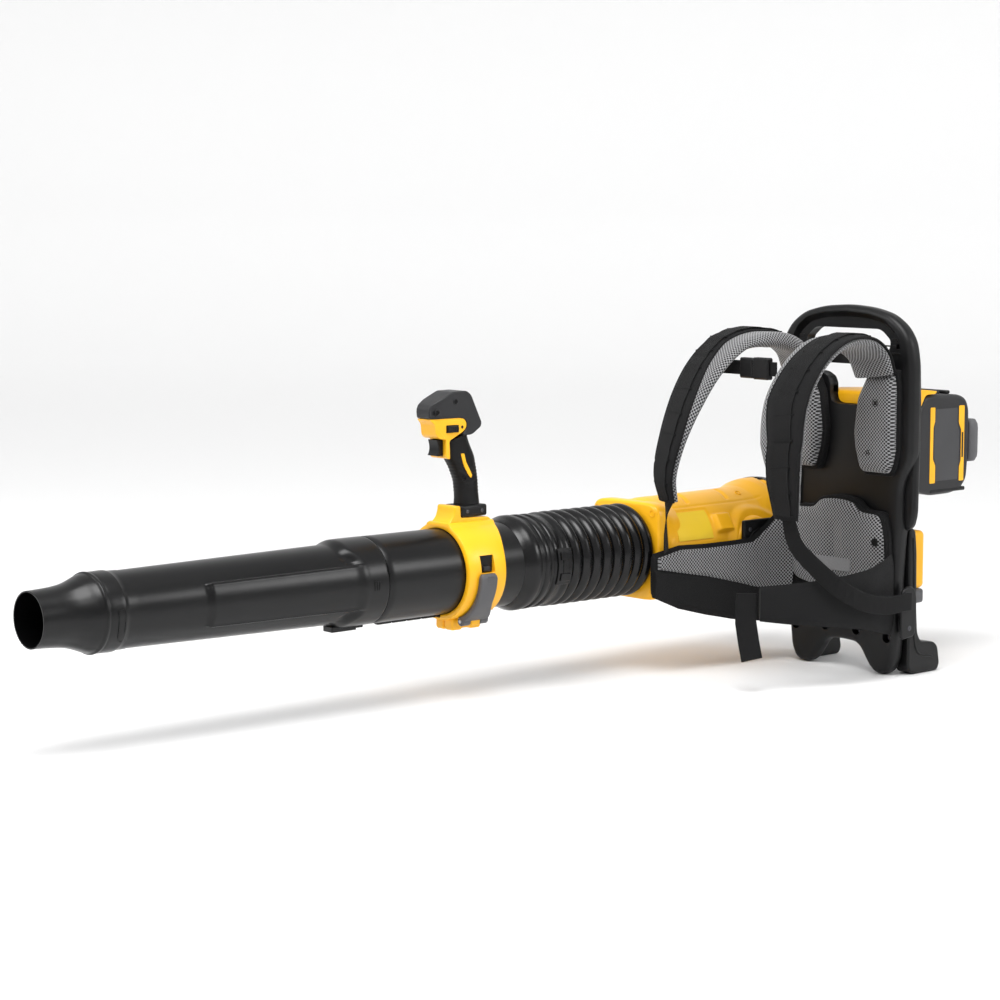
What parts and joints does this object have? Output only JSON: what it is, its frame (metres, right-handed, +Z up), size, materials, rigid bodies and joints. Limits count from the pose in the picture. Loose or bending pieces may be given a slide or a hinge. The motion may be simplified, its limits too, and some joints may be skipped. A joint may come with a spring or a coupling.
{
  "type": "backpack leaf blower",
  "caption": "Battery backpack leaf blower: padded harness frame, axial fan unit, bendable hose and long tube with a clamp-on pistol grip.",
  "frame": {"origin": "centre of the whole blower's box, on the ground", "axes": "+Z up; the tube points to -Y, away from the harness frame; the battery is at +Y; the fan unit and tube are on the wearer's right at -X"},
  "size_m": [0.4163, 1.509, 0.533],
  "materials": {
    "frame_black": "moulded plastic, fine grain",
    "tube_black": "satin moulded plastic",
    "hose_black": "satin thermoplastic rubber",
    "shell_yellow": "satin moulded plastic",
    "dark_grey": "moulded plastic, fine grain",
    "mid_grey": "moulded plastic, fine grain",
    "steel": "plain steel",
    "copper": "wound copper wire and steel laminations",
    "circuit_board": "coated board",
    "pad_mesh": "open mesh fabric over foam",
    "webbing_black": "woven nylon"
  },
  "bodies": {
    "backpack": {"back_frame": "frame_black", "rear_foot_right": "frame_black", "rear_foot_left": "frame_black", "strap_anchor_right": "frame_black", "strap_anchor_left": "frame_black", "battery_dock": "frame_black", "controller_case": "frame_black", "intake_ring": "frame_black", "intake_guard": "frame_black", "housing_bracket": "frame_black", "buckle_socket": "frame_black", "hose_rear_collar": "tube_black", "hose_rear": "hose_black", "dock_hood": "shell_yellow", "controller_cover": "shell_yellow", "fan_housing": "shell_yellow", "housing_flange": "shell_yellow", "battery_rail": "dark_grey", "motor_pod": "dark_grey", "controller_skirt": "mid_grey", "latch_pin": "steel", "bearing_front": "steel", "bearing_rear": "steel", "motor_stator": "copper", "control_board": "circuit_board", "back_pad_right": "pad_mesh", "back_pad_left": "pad_mesh", "lumbar_pad": "pad_mesh", "hip_wing_left": "pad_mesh", "shoulder_strap_right": "webbing_black", "shoulder_strap_left": "webbing_black", "belt_back": "webbing_black", "hip_wing_right": "webbing_black", "belt_tail": "webbing_black", "strap_web_right": "webbing_black", "strap_web_left": "webbing_black", "sternum_web_right": "webbing_black"},
    "fan": {"fan_impeller": "dark_grey", "motor_shaft": "steel", "motor_rotor": "steel"},
    "battery": {"battery_pack": "dark_grey"},
    "latch": {"battery_latch": "mid_grey"},
    "hose_middle": {"hose_ring": "steel", "hose_front": "hose_black"},
    "tube": {"hose_front_collar": "tube_black", "rear_tube": "tube_black", "front_tube": "tube_black"},
    "nozzle": {"nozzle": "tube_black"},
    "handle": {"tube_clamp": "shell_yellow", "clamp_pin": "steel", "handle_base": "frame_black", "handle_grip": "frame_black", "handle_body": "shell_yellow", "handle_cap": "dark_grey", "throttle_switch": "dark_grey"},
    "lever": {"clamp_lever": "mid_grey"},
    "trigger": {"throttle_trigger": "frame_black"},
    "button": {"cruise_button": "frame_black"},
    "buckle": {"buckle_tongue": "frame_black", "sternum_web_left": "webbing_black"}
  },
  "joints": [
    {"name": "tube_yaw", "type": "hinge", "parent": "backpack", "child": "hose_middle", "pos_m": [-0.1221, 0.1895, 0.1775], "axis": [0, 0, 1], "range_deg": [-20, 20], "deforming": ["hose_rear"]},
    {"name": "tube_pitch", "type": "hinge", "parent": "hose_middle", "child": "tube", "pos_m": [-0.1221, 0.0965, 0.1775], "axis": [-1, 0, 0], "range_deg": [-8, 25], "deforming": ["hose_front"]},
    {"name": "nozzle_twist", "type": "hinge", "parent": "tube", "child": "nozzle", "pos_m": [-0.1221, -0.6205, 0.1775], "axis": [0, 1, 0], "range_deg": [0, 20]},
    {"name": "handle_slide", "type": "slide", "parent": "tube", "child": "handle", "axis": [0, -1, 0], "range_m": [0, 0.1]},
    {"name": "clamp_lever_turn", "type": "hinge", "parent": "handle", "child": "lever", "pos_m": [-0.0907, -0.0705, 0.11], "axis": [0, 1, 0], "range_deg": [0, 60]},
    {"name": "trigger_pull", "type": "slide", "parent": "handle", "child": "trigger", "axis": [0, 1, 0], "range_m": [0, 0.003], "stiffness_N_per_m": 500, "springref_m": -0.001},
    {"name": "cruise_press", "type": "slide", "parent": "handle", "child": "button", "axis": [-1, 0, 0], "range_m": [0, 0.002], "stiffness_N_per_m": 500, "springref_m": -0.001},
    {"name": "fan_spin", "type": "hinge", "parent": "backpack", "child": "fan", "pos_m": [-0.1221, 0.4565, 0.1775], "axis": [0, 1, 0], "continuous": true},
    {"name": "battery_slide", "type": "slide", "parent": "backpack", "child": "battery", "axis": [0, 0, -1], "range_m": [0, 0.12]},
    {"name": "latch_turn", "type": "hinge", "parent": "backpack", "child": "latch", "pos_m": [0.0254, 0.571, 0.3235], "axis": [0, 0, 1], "range_deg": [0, 95]},
    {"name": "buckle_release", "type": "slide", "parent": "backpack", "child": "buckle", "axis": [-1, 0, 0], "range_m": [0, 0.015]}
  ]
}
